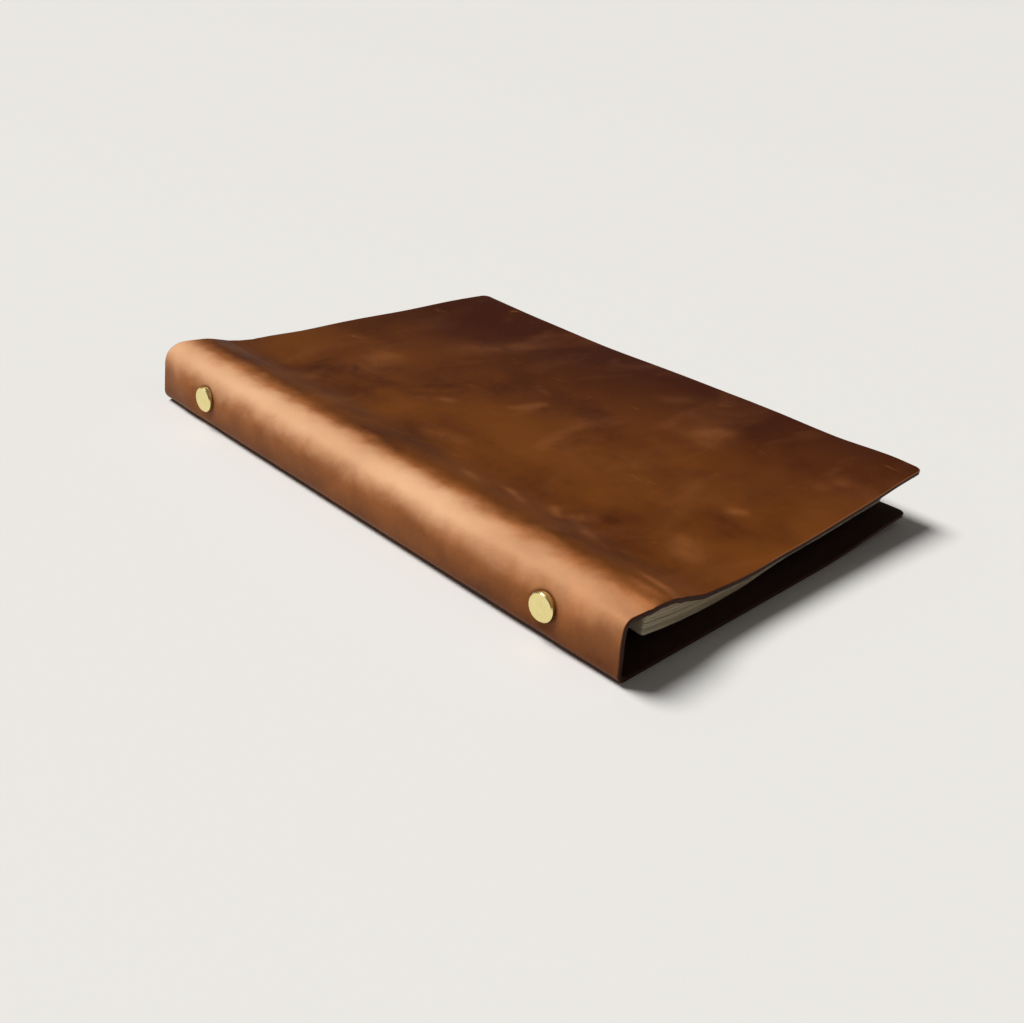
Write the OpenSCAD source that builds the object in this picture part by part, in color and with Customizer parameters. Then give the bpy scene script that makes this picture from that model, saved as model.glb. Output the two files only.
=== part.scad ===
// Leather ring-binder portfolio case, lying closed on its back cover.
// Millimetres. Z is up, the spine runs along Y on the low X side.

/* [Leather case] */
// Length of the hide along the spine
cover_len = 224; // [220:1:250]
// Front cover, from the spine's outer face to its fore-edge
cover_w = 170; // [169:1:195]
// How much narrower the back cover is than the front one
back_short = 3; // [0:0.5:3]
// Outside height of the closed case at the spine
case_h = 21.4; // [21.4:0.2:24.4]
// Thickness of the hide
leather_t = 2; // [1.8:0.1:2.2]
// Outer radius of the fold between spine and front cover
top_fold_r = 4; // [3.8:0.1:4]
// Outer radius of the fold between spine and back cover
bottom_fold_r = 4; // [3.8:0.1:4]
// Flat top of the ridge that the rings raise beside the spine
ridge_flat = 12; // [11.5:0.5:14]
// Width of the slope from the ridge down to the cover
ridge_run = 24; // [22:1:28]
// How far the front cover lies below the ridge
ridge_drop = 4.7; // [3:0.1:5]
// How far the front cover climbs from the foot of the slope to its fore-edge
fore_rise = 1.9; // [0:0.1:3]
// Corner radius of the covers at the fore-edge
corner_r = 3; // [1:0.5:8]

/* [Binding posts] */
// Distance of each post from the end of the housing's arch
post_inset = 9; // [7.5:0.5:10.5]
// Diameter of the post's head on the spine
post_head_d = 9.1; // [8:0.1:11]
// Thickness of the post's head
post_head_t = 1.7; // [1.2:0.1:2.4]
// Rounding of the post's head, as a chamfer
post_head_edge = 0.35; // [0.2:0.05:0.5]
// Diameter of the post's shank
post_d = 4.6; // [4.4:0.1:4.8]
// Thread diameter of the screw in the post
screw_d = 3; // [2.5:0.1:3]
// Diameter of the screw's head
screw_head_d = 6.8; // [6:0.1:7.4]
// Thickness of the screw's head
screw_head_t = 1.3; // [1:0.1:1.5]
// Width of the driver slot across each head
slot_w = 1; // [0.8:0.1:1.2]
// Depth of the driver slot in the screw's head
slot_depth = 0.6; // [0.4:0.1:0.7]
// Length of the screw's thread
screw_reach = 5; // [4:0.1:5.4]
// Solid end of the post under its thread, from the spine's outer face
post_floor = 1.2; // [0.8:0.1:1.4]

/* [Ring mechanism] */
// Length of the arched housing
housing_len = 185; // [184:1:188]
// Width of the housing across the spine
housing_w = 15.4; // [15.2:0.1:15.4]
// Height of the housing's crown above the hide
housing_h = 4.8; // [4.6:0.1:5.2]
// Height of the housing's straight side walls
housing_side_h = 2.5; // [2.4:0.1:2.6]
// Sheet steel thickness of the housing
housing_t = 0.7; // [0.6:0.05:0.7]
// Outer radius of the curl under each side of the housing
lip_r = 1.2; // [1.2:0.1:1.4]
// Width of the lip that is curled under each side of the housing
lip_w = 2.1; // [1.8:0.1:2.2]
// Thickness of the two toggle blades
blade_t = 0.8; // [0.7:0.05:0.8]
// Wire diameter of the rings
wire_d = 2.2; // [2:0.1:2.2]
// Mean radius of the ring's rounded top
ring_r = 5.5; // [5.4:0.1:5.6]
// Distance of the ring's centre from the spine's outer face
ring_rise = 18; // [17.5:0.1:18]
// Distance of the inner pair of rings from mid-length
ring_inner = 35; // [34:0.5:36]
// Pitch of the rings in each group of three
ring_pitch = 19; // [18.5:0.5:19]

/* [Levers] */
// Diameter of the lever's pin
pin_d = 1.8; // [1.6:0.1:2]
// Distance of the pin past the end of the housing's arch
pin_out = 3.5; // [3.4:0.1:4]
// Height of the pin's middle above the hide
pin_h = 2.6; // [2.5:0.1:2.8]
// Radius of the housing's ear round the pin
ear_r = 2.2; // [1.8:0.1:2.4]
// How far the ear runs back along the housing
ear_root = 1.5; // [1:0.1:3]
// Diameter of the lever's hub
hub_d = 3.8; // [3.4:0.1:4]
// Reach of the toe from the pin to under the blades
toe_reach = 3.6; // [3:0.1:3.8]
// Thickness of the toe
toe_t = 0.5; // [0.4:0.05:0.5]
// Width of the toe
toe_w = 3.2; // [2:0.1:4]
// Width of the lever's thumb tab
tab_w = 11; // [8:0.5:12]
// Length of the lever's thumb tab from its pin
tab_len = 10; // [8:0.5:11]
// Thickness of the lever's thumb tab
tab_t = 1.2; // [1:0.1:1.4]
// Slope of the thumb tab above the spine
tab_slope = 42; // [38:1:50]
// Corner radius of the thumb tab
tab_corner_r = 2.5; // [1:0.5:3.5]

/* [Punched sheets] */
// Length of a sheet
sheet_len = 210; // [200:1:212]
// Width of a sheet
sheet_w = 148; // [130:1:148]
// Thickness of the stack on the lower half of the rings
lower_stack = 3.4; // [2:0.1:3.4]
// Thickness of the stack on the upper half of the rings
upper_stack = 3.4; // [2:0.1:3.4]
// Diameter of the punched holes
punch_d = 6; // [6:0.1:6.2]
// Distance of the punched holes' centres from the sheet's edge
punch_edge = 5; // [4.9:0.05:5.1]
// Corner radius of a sheet
sheet_corner_r = 1; // [0.5:0.5:6]

/* [Fits] */
// Play of a moving steel piece beside its neighbour
free_gap = 0.3; // [0.3:0.05:0.35]
// Play of the blades above the housing's lips
blade_lift = 0.45; // [0.4:0.05:0.45]
// Gap of each blade from the housing's middle line
blade_gap = 0.15; // [0.1:0.05:0.25]
// Gap between the blades' ends and the lever's hub
blade_end_gap = 0.8; // [0.5:0.1:1]
// Radial gap between the blades and a post
post_clear = 0.7; // [0.5:0.05:0.8]
// Gap between the lever's toe and the hide
toe_lift = 0.35; // [0.3:0.05:0.35]
// Side play of a lever between the housing's ears
hub_play = 0.4; // [0.3:0.05:0.6]
// Radial play of a lever on its pin
pin_play = 0.05; // [0.03:0.01:0.08]
// Radial play of a shank in its hole
shank_play = 0.05; // [0.03:0.01:0.1]
// Radial play of a ring's leg in its slot in the housing
leg_play = 0.5; // [0.45:0.05:0.5]
// Gap between the tips of a closed ring, on each side of its middle
tip_gap = 0.1; // [0.05:0.05:0.2]
// Gap between the two stacks, on each side of the ring's middle
stack_gap = 0.1; // [0.05:0.05:0.2]
// Distance of the sheets' edges past the middle of the rings
stack_edge = 0.35; // [0.35:0.05:0.4]
// Gap between the lower stack's fore-edge and the back cover
stack_rest = 0.3; // [0.3:0.05:0.5]

/* [Hidden] */
$fn = 64;
// Overlap of a cutting shape past the face that it cuts
cut = 1;
// Middle of the spine's height, where the posts and rings are
mid_z = case_h / 2;
// Moves the object so that its outside box is centred in X
shift_x = -(cover_w - post_head_t) / 2;
// Start, end and number of flats of the slope beside the ridge
ridge_start = top_fold_r + ridge_flat;
ridge_end = ridge_start + ridge_run;
ridge_steps = 14;
// Back cover, from the spine's outer face
back_w = cover_w - back_short;
// Housing section, measured from the spine's outer face
crown_x = leather_t + housing_h;
side_x = leather_t + housing_side_h;
crown_rise = crown_x - side_x;
crown_r = (pow(housing_w / 2, 2) + pow(crown_rise, 2)) / (2 * crown_rise);
inner_half = housing_w / 2 - housing_t;
lip_x = leather_t + housing_t;
// Blade pivot, the middle of the blade's rounded outer edge
blade_x = lip_x + blade_lift + blade_t / 2;
pivot_half = inner_half - free_gap - blade_t / 2;
blade_top_x = blade_x + blade_t / 2;
// Ring legs stand on the blades
leg_slot_r = wire_d / 2 + leg_play;
ring_ys = [for (s = [-1, 1]) for (i = [0:2]) s * (ring_inner + i * ring_pitch)];
// Levers
pin_y = housing_len / 2 + pin_out;
pin_x = leather_t + pin_h;
ear_inner_y = housing_len / 2 - ear_root;
hub_half = inner_half - hub_play;
hub_r = hub_d / 2;
toe_x = leather_t + toe_lift;
blade_end_y = pin_y - hub_r - blade_end_gap;
// Posts
post_y = housing_len / 2 - post_inset;
post_top_x = crown_x - housing_t - free_gap;
// Sheets hang on the rings with their fore-edge down
lower_depth = stack_gap + lower_stack;
stack_fall = mid_z - lower_depth - leather_t - stack_rest;
stack_tilt = asin(stack_fall / sheet_w);

// Extrudes a section drawn in X and Z along Y, centred on mid-length
module along_spine(length) {
    rotate([90, 0, 0]) linear_extrude(height = length, center = true) children();
}

// A curved strip of the hide between two radii and two angles
module arc_strip(r_in, r_out, a_from, a_to) {
    reach = 2 * r_out;
    intersection() {
        difference() {
            circle(r = r_out);
            circle(r = r_in);
        }
        polygon([
            [0, 0],
            [reach * cos(a_from), reach * sin(a_from)],
            [reach * cos(a_to), reach * sin(a_to)]
        ]);
    }
}

// Plan of a cover: straight at the spine, rounded corners at the fore-edge
module cover_plan(width) {
    square_w = width - corner_r;
    translate([0, -cover_len / 2]) square([square_w, cover_len]);
    translate([0, -cover_len / 2 + corner_r]) square([width, cover_len - 2 * corner_r]);
    for (s = [-1, 1]) translate([square_w, s * (cover_len / 2 - corner_r)]) circle(r = corner_r);
}

module back_cover() {
    color("saddlebrown") translate([shift_x, 0, 0]) intersection() {
        translate([bottom_fold_r, -cover_len, 0]) cube([back_w, 2 * cover_len, leather_t]);
        linear_extrude(height = leather_t) cover_plan(back_w);
    }
}

module back_fold() {
    color("sienna") translate([shift_x, 0, 0]) along_spine(cover_len)
        translate([bottom_fold_r, bottom_fold_r])
            arc_strip(bottom_fold_r - leather_t, bottom_fold_r, 180, 270);
}

module spine_panel() {
    panel_h = case_h - top_fold_r - bottom_fold_r;
    color("peru") translate([shift_x, 0, 0]) difference() {
        translate([0, -cover_len / 2, bottom_fold_r]) cube([leather_t, cover_len, panel_h]);
        for (s = [-1, 1]) translate([-cut, s * post_y, mid_z])
            rotate([0, 90, 0]) cylinder(r = post_d / 2 + shank_play, h = leather_t + 2 * cut);
    }
}

module front_fold() {
    color("sienna") translate([shift_x, 0, 0]) along_spine(cover_len)
        translate([top_fold_r, case_h - top_fold_r])
            arc_strip(top_fold_r - leather_t, top_fold_r, 90, 180);
}

// Height of the front cover's outer face at a distance from the spine
function cover_z(x) =
    x <= ridge_start ? case_h :
    x >= ridge_end ? case_h - ridge_drop + fore_rise * (x - ridge_end) / (cover_w - ridge_end) :
    case_h - ridge_drop * (1 - cos(180 * (x - ridge_start) / ridge_run)) / 2;

// Section of the front cover: ridge, smooth slope, flat cover
module front_section() {
    slope_xs = [for (i = [0:ridge_steps]) ridge_start + ridge_run * i / ridge_steps];
    xs = concat([top_fold_r], slope_xs, [cover_w]);
    last = len(xs) - 1;
    outer = [for (x = xs) [x, cover_z(x)]];
    inner = [for (i = [0:last]) [xs[last - i], cover_z(xs[last - i]) - leather_t]];
    polygon(concat(outer, inner));
}

module front_cover() {
    color("saddlebrown") translate([shift_x, 0, 0]) intersection() {
        along_spine(cover_len) front_section();
        linear_extrude(height = case_h + cut) cover_plan(cover_w);
    }
}

// Headed post with a blind thread, head on the outside of the spine
module post_at(y) {
    color("gold") translate([shift_x, y, mid_z]) rotate([0, 90, 0]) difference() {
        union() {
            translate([0, 0, -post_head_t + post_head_edge])
                cylinder(r = post_head_d / 2, h = post_head_t - post_head_edge);
            translate([0, 0, -post_head_t]) cylinder(
                r1 = post_head_d / 2 - post_head_edge, r2 = post_head_d / 2, h = post_head_edge);
            cylinder(r = post_d / 2, h = post_top_x);
        }
        translate([0, 0, post_floor]) cylinder(r = screw_d / 2 + shank_play, h = post_top_x);
    }
}

module post_near() { post_at(-post_y); }

module post_far() { post_at(post_y); }

// Slotted screw from inside the case into the post
module screw_at(y) {
    color("goldenrod") translate([shift_x, y, mid_z]) rotate([0, 90, 0]) difference() {
        union() {
            translate([0, 0, crown_x - screw_reach]) cylinder(r = screw_d / 2, h = screw_reach);
            translate([0, 0, crown_x]) cylinder(r = screw_head_d / 2, h = screw_head_t);
        }
        translate([-slot_w / 2, -screw_head_d, crown_x + screw_head_t - slot_depth])
            cube([slot_w, 2 * screw_head_d, slot_depth + cut]);
    }
}

module screw_near() { screw_at(-post_y); }

module screw_far() { screw_at(post_y); }

// Block with two rounded corners on the spine's side, about mid-height
module curled_block(from_x, half, r) {
    depth = crown_x + cut - from_x;
    translate([from_x + r, -half]) square([depth - r, 2 * half]);
    translate([from_x, r - half]) square([depth, 2 * (half - r)]);
    for (s = [-1, 1]) translate([from_x + r, s * (half - r)]) circle(r = r);
}

// Arched channel with curled lips, drawn in X and Z about mid-height
module housing_section() {
    difference() {
        intersection() {
            translate([crown_x - crown_r, 0]) circle(r = crown_r);
            curled_block(leather_t, housing_w / 2, lip_r);
        }
        intersection() {
            translate([crown_x - crown_r, 0]) circle(r = crown_r - housing_t);
            curled_block(lip_x, inner_half, lip_r - housing_t);
        }
        translate([leather_t - cut, -(housing_w / 2 - lip_w)])
            square([housing_t + 2 * cut, housing_w - 2 * lip_w]);
    }
}

// Ear that carries one end of a lever's pin
module ear() {
    from_x = leather_t + lip_r;
    rise = pin_x - from_x;
    run = pin_y - ear_inner_y;
    translate([from_x, ear_inner_y]) square([rise + ear_r, run]);
    translate([from_x, ear_inner_y]) square([rise, run + ear_r]);
    translate([pin_x, pin_y]) circle(r = ear_r);
}

module housing() {
    color("silver") translate([shift_x, 0, mid_z]) difference() {
        union() {
            along_spine(housing_len) housing_section();
            for (m = [0, 1]) mirror([0, m, 0])
                for (z = [-housing_w / 2, inner_half])
                    translate([0, 0, z]) linear_extrude(height = housing_t) ear();
        }
        for (y = ring_ys) for (s = [-1, 1]) translate([blade_top_x, y, s * ring_r])
            rotate([0, 90, 0]) cylinder(r = leg_slot_r, h = housing_h);
        for (s = [-1, 1]) {
            translate([0, s * post_y, 0]) rotate([0, 90, 0])
                cylinder(r = screw_d / 2 + shank_play, h = crown_x + cut);
            translate([pin_x, s * pin_y, -housing_w])
                cylinder(r = pin_d / 2, h = 2 * housing_w);
        }
    }
}

module pin_at(y) {
    color("dimgray") translate([shift_x + pin_x, y, mid_z])
        cylinder(r = pin_d / 2, h = housing_w, center = true);
}

module pin_near() { pin_at(-pin_y); }

module pin_far() { pin_at(pin_y); }

// Plan of the thumb tab, from the pin to its rounded end
module tab_plan() {
    straight = tab_len - tab_corner_r;
    translate([0, -tab_w / 2]) square([straight, tab_w]);
    translate([0, -tab_w / 2 + tab_corner_r]) square([tab_len, tab_w - 2 * tab_corner_r]);
    for (s = [-1, 1]) translate([straight, s * (tab_w / 2 - tab_corner_r)]) circle(r = tab_corner_r);
}

// End lever: a hub on the pin, a toe under the blades and a thumb tab
module lever_body() {
    difference() {
        union() {
            translate([pin_x, pin_y, 0]) cylinder(r = hub_r, h = 2 * hub_half, center = true);
            translate([toe_x, pin_y - toe_reach, -toe_w / 2]) cube([toe_t, toe_reach, toe_w]);
            translate([toe_x, pin_y - hub_r / 2, -toe_w / 2]) cube([pin_x - toe_x, hub_r / 2, toe_w]);
            translate([pin_x, pin_y, 0]) rotate([0, 0, 90 - tab_slope])
                translate([0, tab_t / 2, 0]) rotate([90, 0, 0])
                    linear_extrude(height = tab_t) tab_plan();
        }
        translate([pin_x, pin_y, -housing_w]) cylinder(r = pin_d / 2 + pin_play, h = 2 * housing_w);
    }
}

module lever_near() {
    color("silver") translate([shift_x, 0, mid_z]) mirror([0, 1, 0]) lever_body();
}

module lever_far() {
    color("silver") translate([shift_x, 0, mid_z]) lever_body();
}

// One toggle blade on the upper side, rounded at the edge that it turns on
module blade_body() {
    difference() {
        union() {
            translate([blade_x - blade_t / 2, -blade_end_y, blade_gap])
                cube([blade_t, 2 * blade_end_y, pivot_half - blade_gap]);
            translate([blade_x, blade_end_y, pivot_half])
                rotate([90, 0, 0]) cylinder(r = blade_t / 2, h = 2 * blade_end_y);
        }
        for (s = [-1, 1]) translate([0, s * post_y, 0]) rotate([0, 90, 0])
            cylinder(r = post_d / 2 + post_clear, h = crown_x);
    }
}

module upper_blade() {
    color("darkgray") translate([shift_x, 0, mid_z]) blade_body();
}

module lower_blade() {
    color("darkgray") translate([shift_x, 0, mid_z]) mirror([0, 0, 1]) blade_body();
}

// Upper half of a ring: a straight leg on the blade and a quarter turn
module ring_half() {
    translate([blade_top_x, 0, ring_r]) rotate([0, 90, 0])
        cylinder(r = wire_d / 2, h = ring_rise - blade_top_x);
    translate([ring_rise, 0, 0]) intersection() {
        rotate([90, 0, 0]) rotate_extrude() translate([ring_r, 0]) circle(r = wire_d / 2);
        translate([0, -wire_d, tip_gap]) cube([2 * ring_r, 2 * wire_d, 2 * ring_r]);
    }
}

module upper_ring(i) {
    color("lightgray") translate([shift_x, ring_ys[i], mid_z]) ring_half();
}

module lower_ring(i) {
    color("lightgray") translate([shift_x, ring_ys[i], mid_z]) mirror([0, 0, 1]) ring_half();
}

module upper_ring_1() { upper_ring(0); }

module upper_ring_2() { upper_ring(1); }

module upper_ring_3() { upper_ring(2); }

module upper_ring_4() { upper_ring(3); }

module upper_ring_5() { upper_ring(4); }

module upper_ring_6() { upper_ring(5); }

module lower_ring_1() { lower_ring(0); }

module lower_ring_2() { lower_ring(1); }

module lower_ring_3() { lower_ring(2); }

module lower_ring_4() { lower_ring(3); }

module lower_ring_5() { lower_ring(4); }

module lower_ring_6() { lower_ring(5); }

// Plan of a punched sheet, from its spine-side edge
module sheet_plan() {
    r = sheet_corner_r;
    difference() {
        union() {
            translate([0, -sheet_len / 2 + r]) square([sheet_w, sheet_len - 2 * r]);
            translate([r, -sheet_len / 2]) square([sheet_w - 2 * r, sheet_len]);
            for (x = [r, sheet_w - r]) for (s = [-1, 1])
                translate([x, s * (sheet_len / 2 - r)]) circle(r = r);
        }
        for (y = ring_ys) translate([punch_edge, y]) circle(r = punch_d / 2);
    }
}

module stack_at(from_z, thickness) {
    translate([shift_x + ring_rise, 0, mid_z]) rotate([0, stack_tilt, 0])
        translate([stack_edge, 0, from_z]) linear_extrude(height = thickness) sheet_plan();
}

module lower_sheets() {
    color("whitesmoke") stack_at(-lower_depth, lower_stack);
}

module upper_sheets() {
    color("ivory") stack_at(stack_gap, upper_stack);
}

back_cover();
back_fold();
spine_panel();
front_fold();
front_cover();
post_near();
post_far();
screw_near();
screw_far();
housing();
pin_near();
pin_far();
lever_near();
lever_far();
upper_blade();
lower_blade();
upper_ring_1();
upper_ring_2();
upper_ring_3();
upper_ring_4();
upper_ring_5();
upper_ring_6();
lower_ring_1();
lower_ring_2();
lower_ring_3();
lower_ring_4();
lower_ring_5();
lower_ring_6();
lower_sheets();
upper_sheets();
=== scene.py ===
"""Leather ring-binder portfolio case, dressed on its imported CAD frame."""
import math

import bpy
import numpy as np
from bpy.props import FloatProperty, FloatVectorProperty, IntProperty, PointerProperty
from mathutils import Matrix, Vector
from mathutils.geometry import delaunay_2d_cdt


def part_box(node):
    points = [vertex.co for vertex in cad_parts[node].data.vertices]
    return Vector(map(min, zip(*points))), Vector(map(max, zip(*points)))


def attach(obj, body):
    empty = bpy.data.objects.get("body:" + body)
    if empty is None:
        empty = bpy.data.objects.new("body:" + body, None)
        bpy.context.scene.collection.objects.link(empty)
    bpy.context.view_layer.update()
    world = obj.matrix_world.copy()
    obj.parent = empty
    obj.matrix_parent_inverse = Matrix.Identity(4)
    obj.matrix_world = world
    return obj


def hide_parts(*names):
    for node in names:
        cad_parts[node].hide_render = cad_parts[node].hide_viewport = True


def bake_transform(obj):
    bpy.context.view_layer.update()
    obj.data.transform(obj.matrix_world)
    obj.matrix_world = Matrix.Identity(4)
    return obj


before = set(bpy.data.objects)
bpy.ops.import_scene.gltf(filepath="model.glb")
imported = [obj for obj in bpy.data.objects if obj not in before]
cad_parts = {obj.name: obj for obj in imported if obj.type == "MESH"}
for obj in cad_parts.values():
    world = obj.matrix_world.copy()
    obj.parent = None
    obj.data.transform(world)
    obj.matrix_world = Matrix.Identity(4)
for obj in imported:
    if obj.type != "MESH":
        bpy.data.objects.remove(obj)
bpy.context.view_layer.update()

bl_info = {
    "name": "Leather portfolio case",
    "version": (1, 0, 0),
    "blender": (4, 5, 0),
    "location": "3D View > Sidebar > Portfolio",
    "description": "Builds the hide, sheets, brass posts and ring mechanism of a portfolio case",
    "category": "Object",
}

# Sizes that come from the CAD frame, in millimetres from the spine's outer face
MM = 0.001
SPINE_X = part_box("spine_panel")[0].x
HALF_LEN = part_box("back_cover")[1].y / MM
CASE_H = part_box("front_fold")[1].z / MM
HIDE_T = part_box("back_cover")[1].z / MM
COVER_W = (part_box("front_cover")[1].x - SPINE_X) / MM
BACK_W = (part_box("back_cover")[1].x - SPINE_X) / MM
FOLD_R = (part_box("front_fold")[1].x - SPINE_X) / MM
POST_Y = sum(corner.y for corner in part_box("post_far")) / 2 / MM
HEAD_R = (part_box("post_far")[1].y / MM) - POST_Y

# Section of the front cover, as in the CAD source
RIDGE_START = 16.0
RIDGE_END = 40.0
RIDGE_DROP = 4.7
FORE_RISE = 1.9
CORNER_R = 3.0
# The hide is two meshes that meet low on the spine: the height there, and its place along the section
SEAM_Z = 4.6
SEAM_PLACE = FOLD_R - FOLD_R * math.pi / 2 - (CASE_H - FOLD_R - SEAM_Z)
# Skived edges: thickness at the cut, and how far in the hide is thinned
EDGE_T = 1.6
SKIVE_W = 11.0
# The soft spine: width and height of its round into the front cover, at mid-length and at the far end, and
# the power of that round's curve, where 2 is an ellipse
ROUND_W = 12.0
ROUND_H = 11.9
FAR_ROUND_W = 9.0
FAR_ROUND_H = 8.0
ROUND_POWER = 2.6
# How far the spine swells out, how far round itself a post pulls it in, and how much its round is thinned
SWELL = 1.2
DIMPLE_R = 8.0
ROUND_SKIVE = 1.25
# Rows of the hide's mesh: up the spine, round into the front cover, round the lower fold, along a free edge
SPINE_ROWS = 9
ROUND_ROWS = 29
FOLD_ROWS = 13
EDGE_ROWS = 7

# Rings and sheets, as in the CAD source
RING_X = 18.0
MID_Z = CASE_H / 2
RING_YS = (-73.0, -54.0, -35.0, 35.0, 54.0, 73.0)
SHEET_W = 148.0
SHEET_HALF = 105.0
SHEET_EDGE = 0.35
SHEET_TILT = math.radians(1.897)
STACK_GAP = 0.1
STACK_T = 3.4
PUNCH_EDGE = 5.0
PUNCH_R = 3.0
SHEET_CORNER_R = 1.0
SHEET_CORNER_STEPS = 4
# How much a stack loosens at its drooping ends, and how far a sheet sits out of line across the spine
SHEET_FAN = 0.4
SIDE_JITTER = 0.08
# Share of its pitch that a sheet fills, spacing of its mesh, and sides of a punched hole
SHEET_FILL = 0.85
SHEET_STEP = 9.0
HOLE_SIDES = 20

# How the soft cover lies, as offsets in millimetres at distances from the spine
NEAR_SAG = (
    (0, 0.2), (7, -0.2), (19, -0.4), (33, -0.3), (40, -0.4), (47, -0.9), (63, -1.3), (76, -1.0),
    (87, -0.9), (118, -0.1), (170, 0),
)
NEAR_LIFT = ((0, 0), (112, 0), (138, 1.0), (152, 2.1), (170, 3.0))
FAR_LIE = (
    (0, 0.1), (9, 0.5), (16, 0.2), (26, -0.1), (36, 1.0), (45, 1.1), (62, 0.7), (85, 0.6),
    (116, 0.6), (140, 0.7), (170, 0.3),
)
# How the fore-edge waves, as offsets at places along the spine
EDGE_WAVE = (
    (-112, -0.4), (-102, -0.1), (-94, -0.25), (-86, -0.3), (-78, 0), (-69, 0.8), (-60, 1.5), (-42, 1.6),
    (-23, 1.05), (8, 0.25), (41, -0.85), (77, -0.8), (95, -0.6), (112, -0.4),
)
# How the sheets lie past the outer rings: their droop beside the rings, and the curl of their fore corner
SHEET_DROOP = (
    (18, -1.6), (27, -2.7), (38, -3.5), (48, -3.8), (60, -3.8), (70, -3.4), (77, -2.7), (84, -1.7),
    (92, -0.9), (105, -0.1), (115, 0), (168, 0),
)
SHEET_CURL = ((18, 0), (112, 0), (122, 0.2), (133, 0.8), (145, 1.5), (156, 2.1), (168, 2.7))
# How far the stacks are pushed out of square, towards the far end at the fore-edge
SHEET_SKEW = math.tan(math.radians(1.3))
# Creases at the near end of the ridge: place from the spine, slant, half width and depth
NEAR_CREASES = ((11.5, 0.02, 0.9, 0.25), (18.0, -0.08, 1.1, 0.2), (24.5, 0.12, 1.2, 0.25))
# Rubbed marks on the front cover: place from the spine and along it, half length, half width,
# direction in degrees, bow and strength
RUBS = (
    (89, 7, 8, 2.3, -14, 0.012, 0.42), (106, 16, 5, 1.9, 75, 0.0, 0.2), (64, 31, 7, 2.2, -44, 0.0, 0.3),
    (69, 71, 15, 7, 25, 0.0, 0.25), (27, -25, 5, 2.4, 62, 0.02, 0.4), (31, -42, 7, 2.0, 66, 0.015, 0.4),
    (35, -55, 5, 2.0, 45, 0.0, 0.33), (33, -68, 7, 2.2, 70, -0.015, 0.38), (40, -62, 6, 2.8, -30, 0.0, 0.3),
    (54, -92, 8, 5, 40, 0.0, 0.35), (87, -88, 4, 2.2, -40, 0.0, 0.3), (11.5, -108, 6, 1.3, 84, 0.02, 0.8),
    (24.5, -105, 8, 1.5, 80, 0.02, 0.75), (18, -103, 7, 1.6, 96, 0.0, 0.6), (128, -48, 11, 8, 15, 0.0, 0.2),
    (120, 60, 18, 6, 160, 0.0, 0.18), (44, 6, 9, 4, 110, 0.0, 0.2), (146, -20, 9, 4, -35, 0.01, 0.12),
    (132, -97, 7, 3.5, -30, 0.0, 0.22),
)
# The lamp: its width in degrees as seen from the case, and the way it shines
LAMP_WIDTH = 26
LAMP_TOWARDS = (0.27, -0.50, -0.82)


def linear(hex_colour):
    """An sRGB hex colour as linear red, green, blue and alpha."""
    parts = [int(hex_colour[i:i + 2], 16) / 255 for i in (1, 3, 5)]
    return tuple(c / 12.92 if c <= 0.04045 else ((c + 0.055) / 1.055) ** 2.4 for c in parts) + (1.0,)


def colour_setting(name, description, hex_colour):
    """A colour that a user can change, from its sRGB hex value."""
    return FloatVectorProperty(
        name=name, description=description, default=linear(hex_colour), subtype="COLOR", size=4, min=0, max=1)


class HideSettings(bpy.types.PropertyGroup):
    """Sizes and colours of the leather."""

    edge_round: FloatProperty(
        name="Edge rounding", description="Rounding of the cut edges", default=0.45 * MM, min=0.1 * MM,
        max=1.0 * MM, unit="LENGTH")
    mesh_step: FloatProperty(
        name="Mesh step", description="Spacing of the hide's mesh", default=1.15 * MM, min=1.0 * MM,
        max=6.0 * MM, unit="LENGTH")
    grain_size: FloatProperty(
        name="Grain size", description="Width of one pebble of the grain", default=0.9 * MM, min=0.3 * MM,
        max=3.0 * MM, unit="LENGTH")
    deep_colour: colour_setting("Deep colour", "Darkest patches of the grain side", "#3d1504")
    main_colour: colour_setting("Main colour", "Main colour of the grain side", "#6d3a10")
    # Real pull-up on smears, marks and scratches, and painted highlight on the upper fold and on the cut
    # edge's lip
    pulled_and_highlight_colour: colour_setting("Pulled-up colour", "Folds and smears, where wax has moved", "#bd7645")
    # Painted highlight on the crown of the upper fold
    crown_highlight_colour: colour_setting("Crown highlight colour", "Palest part, on the crown of the fold", "#e8b58b")
    wax_colour: colour_setting("Wax colour", "Tint that the wax gives to reflections", "#f2c79c")
    edge_colour: colour_setting("Cut edge colour", "Burnished cut edge", "#2c150a")
    flesh_colour: colour_setting("Flesh side colour", "Inside of the hide", "#3f2213")


class SheetSettings(bpy.types.PropertyGroup):
    """The two stacks of punched sheets."""

    count: IntProperty(
        name="Sheets per stack", description="Number of sheets in each stack", default=34, min=4, max=34)
    jitter: FloatProperty(
        name="Jitter", description="How far a sheet sits out of line along the spine", default=0.18 * MM,
        min=0, max=0.8 * MM, unit="LENGTH")
    colour: colour_setting("Paper colour", "Colour of the paper", "#e6d6b8")


class MetalSettings(bpy.types.PropertyGroup):
    """Colours of the posts and of the ring mechanism."""

    brass_colour: colour_setting("Brass colour", "Polished brass", "#f7e8a4")
    nickel_colour: colour_setting("Nickel colour", "Nickel plating", "#d6d2c8")
    steel_colour: colour_setting("Steel colour", "Bare rolled steel", "#b9b8b6")


class StageSettings(bpy.types.PropertyGroup):
    """Floor and light."""

    floor_colour: colour_setting("Floor colour", "Plain pale floor", "#eae8e4")
    room_colour: colour_setting("Room light colour", "Slightly warm room light", "#fffaf5")
    key_level: FloatProperty(
        name="Key light", description="Strength of the broad lamp over the spine", default=3.4, min=0, max=10)
    sky_level: FloatProperty(
        name="Room light", description="Strength of the even room light", default=0.12, min=0, max=2)


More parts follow.
